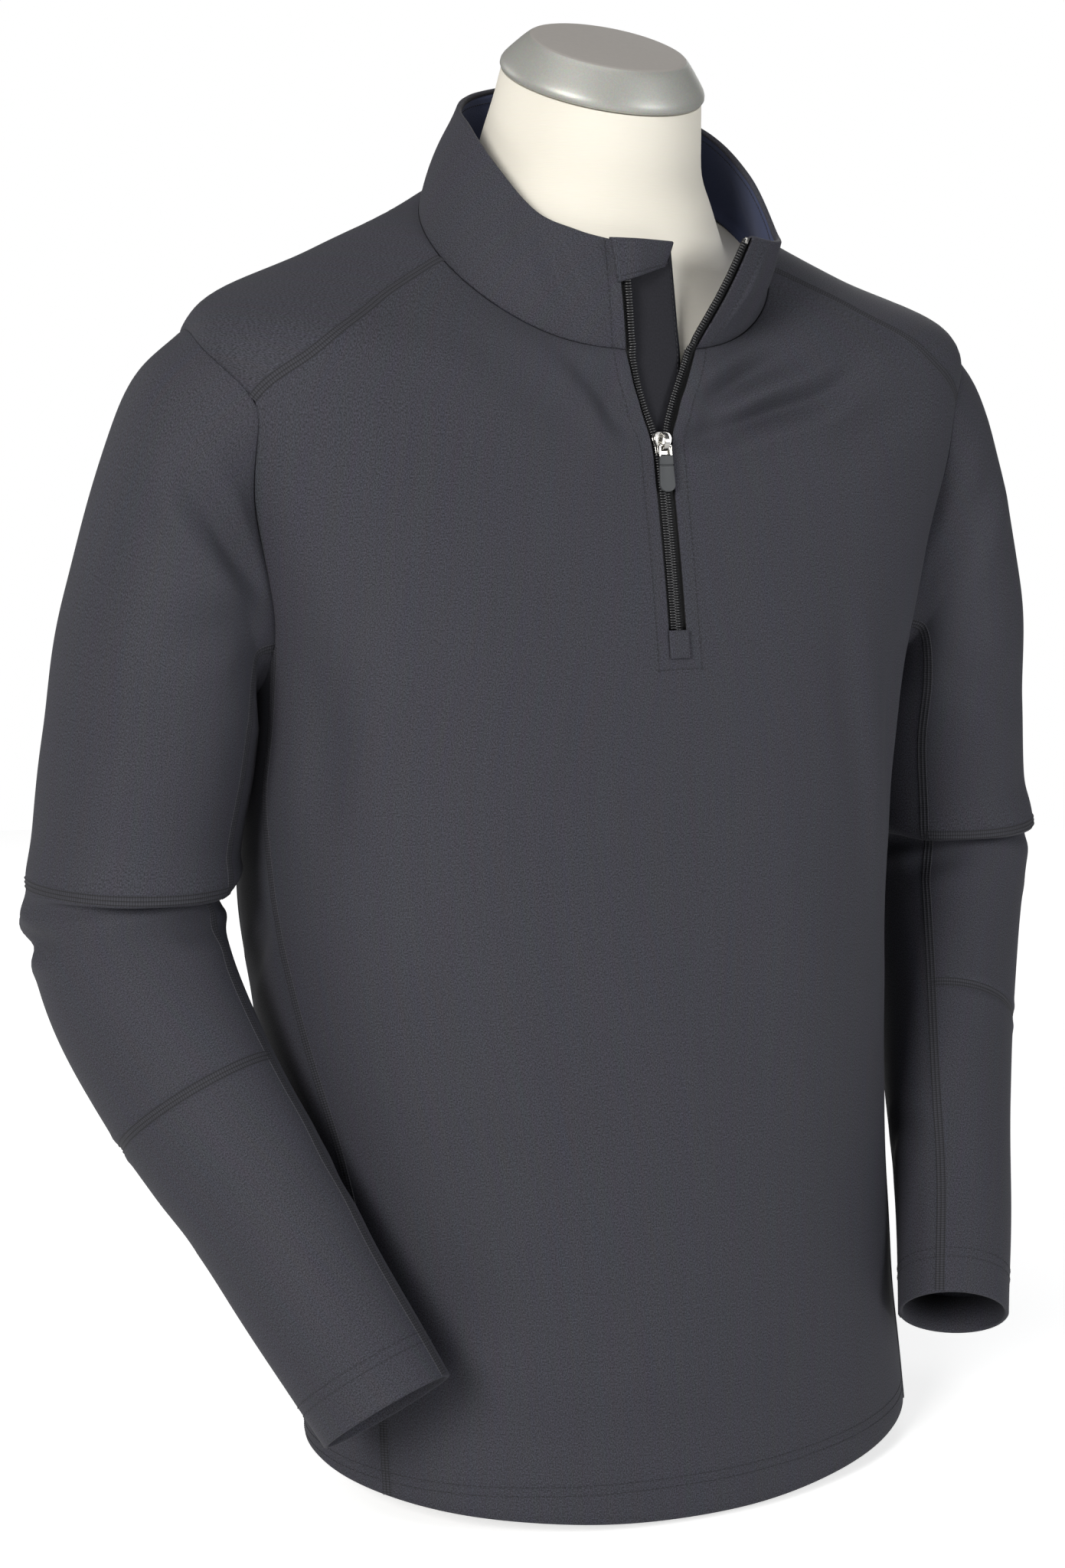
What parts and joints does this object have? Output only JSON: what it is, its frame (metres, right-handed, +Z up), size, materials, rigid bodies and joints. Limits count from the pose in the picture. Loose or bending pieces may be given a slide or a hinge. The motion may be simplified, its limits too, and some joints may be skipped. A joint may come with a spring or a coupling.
{
  "type": "quarter-zip pullover on a limbless dress form",
  "caption": "Long-sleeved knit pullover with a stand collar, open half-length front zip and bent sleeves, worn by a limbless dress form with a capped neck.",
  "frame": {"origin": "centre of the dress form's flat foot, at floor level", "axes": "+Z up the body, the front of the garment faces -Y and the wearer's left is +X"},
  "size_m": [0.657, 0.328, 0.8337],
  "materials": {
    "charcoal_jersey": "matt knit",
    "navy_jersey": "matt knit",
    "zip_tape": "woven",
    "nickel": "polished",
    "grey_rubber": "satin",
    "cream_cover": "stretched cover",
    "silver_cap": "satin"
  },
  "bodies": {
    "garment_on_form": {"back": "charcoal_jersey", "chin_flap": "charcoal_jersey", "collar_inner": "navy_jersey", "collar_outer": "charcoal_jersey", "form_neck_cap": "silver_cap", "form_torso": "cream_cover", "front": "charcoal_jersey", "side_panel_left": "charcoal_jersey", "side_panel_right": "charcoal_jersey", "top_sleeve_elbow_left": "charcoal_jersey", "top_sleeve_elbow_right": "charcoal_jersey", "top_sleeve_lower_left": "charcoal_jersey", "top_sleeve_lower_right": "charcoal_jersey", "top_sleeve_upper_left": "charcoal_jersey", "top_sleeve_upper_right": "charcoal_jersey", "under_sleeve_left": "charcoal_jersey", "under_sleeve_right": "charcoal_jersey", "wind_guard": "charcoal_jersey", "zip_end_patch": "charcoal_jersey", "zip_slider": "nickel", "zip_tape_left": "zip_tape", "zip_tape_right": "zip_tape"},
    "pull_tab": {"zip_pull": "grey_rubber"}
  },
  "joints": [
    {"name": "pull_tab_hinge", "type": "hinge", "parent": "garment_on_form", "child": "pull_tab", "pos_m": [0, -0.07393, 0.59312], "axis": [-1, 0, 0], "range_deg": [0, 115]}
  ]
}
